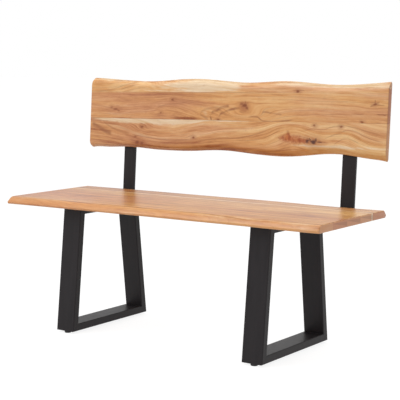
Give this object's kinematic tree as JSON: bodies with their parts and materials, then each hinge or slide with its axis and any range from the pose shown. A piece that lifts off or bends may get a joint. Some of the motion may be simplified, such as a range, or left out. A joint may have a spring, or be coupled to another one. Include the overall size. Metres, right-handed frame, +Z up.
{
  "type": "live-edge bench",
  "caption": "Live-edge wooden bench: plank seat, leaning plank backrest on bent flat-bar brackets, welded trapezoid frames of black rectangular tube, screw-in levelling feet.",
  "frame": {"origin": "on the floor, midway between the two leg frames along the bench and midway between the foremost and rearmost points", "axes": "+X along the bench to the right as seen from the front, +Y to the back, +Z up"},
  "size_m": [1.265, 0.5169, 0.8717],
  "materials": {
    "seat_wood": "satin lacquered acacia",
    "back_wood": "satin lacquered acacia",
    "black_steel": "satin black powder coat",
    "foot_plastic": "moulded black plastic",
    "zinc_steel": "zinc plated",
    "bolt_steel": "black oxide"
  },
  "bodies": {
    "bench": {"seat_front_stave": "seat_wood", "seat_front_inner_stave": "seat_wood", "seat_centre_stave": "seat_wood", "seat_rear_inner_stave": "seat_wood", "seat_rear_stave": "seat_wood", "back_top_board": "back_wood", "back_middle_board": "back_wood", "back_bottom_board": "back_wood", "left_front_leg": "black_steel", "left_rear_leg": "black_steel", "left_floor_bar": "black_steel", "left_top_bar": "black_steel", "right_front_leg": "black_steel", "right_rear_leg": "black_steel", "right_floor_bar": "black_steel", "right_top_bar": "black_steel", "left_back_bracket": "black_steel", "right_back_bracket": "black_steel", "foot_nuts": "zinc_steel", "frame_bolts": "bolt_steel", "bracket_bolts": "bolt_steel", "back_bolts": "bolt_steel", "frame_washers": "bolt_steel", "bracket_washers": "bolt_steel", "back_washers": "bolt_steel", "seat_inserts": "zinc_steel", "back_inserts": "zinc_steel"},
    "left_front_foot": {"left_front_foot_pad": "foot_plastic", "left_front_foot_stud": "zinc_steel"},
    "left_rear_foot": {"left_rear_foot_pad": "foot_plastic", "left_rear_foot_stud": "zinc_steel"},
    "right_front_foot": {"right_front_foot_pad": "foot_plastic", "right_front_foot_stud": "zinc_steel"},
    "right_rear_foot": {"right_rear_foot_pad": "foot_plastic", "right_rear_foot_stud": "zinc_steel"}
  },
  "joints": [
    {"name": "left_front_foot_screw", "type": "slide", "parent": "bench", "child": "left_front_foot", "axis": [0, 0, -1], "range_m": [0, 0.008]},
    {"name": "left_rear_foot_screw", "type": "slide", "parent": "bench", "child": "left_rear_foot", "axis": [0, 0, -1], "range_m": [0, 0.008]},
    {"name": "right_front_foot_screw", "type": "slide", "parent": "bench", "child": "right_front_foot", "axis": [0, 0, -1], "range_m": [0, 0.008]},
    {"name": "right_rear_foot_screw", "type": "slide", "parent": "bench", "child": "right_rear_foot", "axis": [0, 0, -1], "range_m": [0, 0.008]}
  ]
}
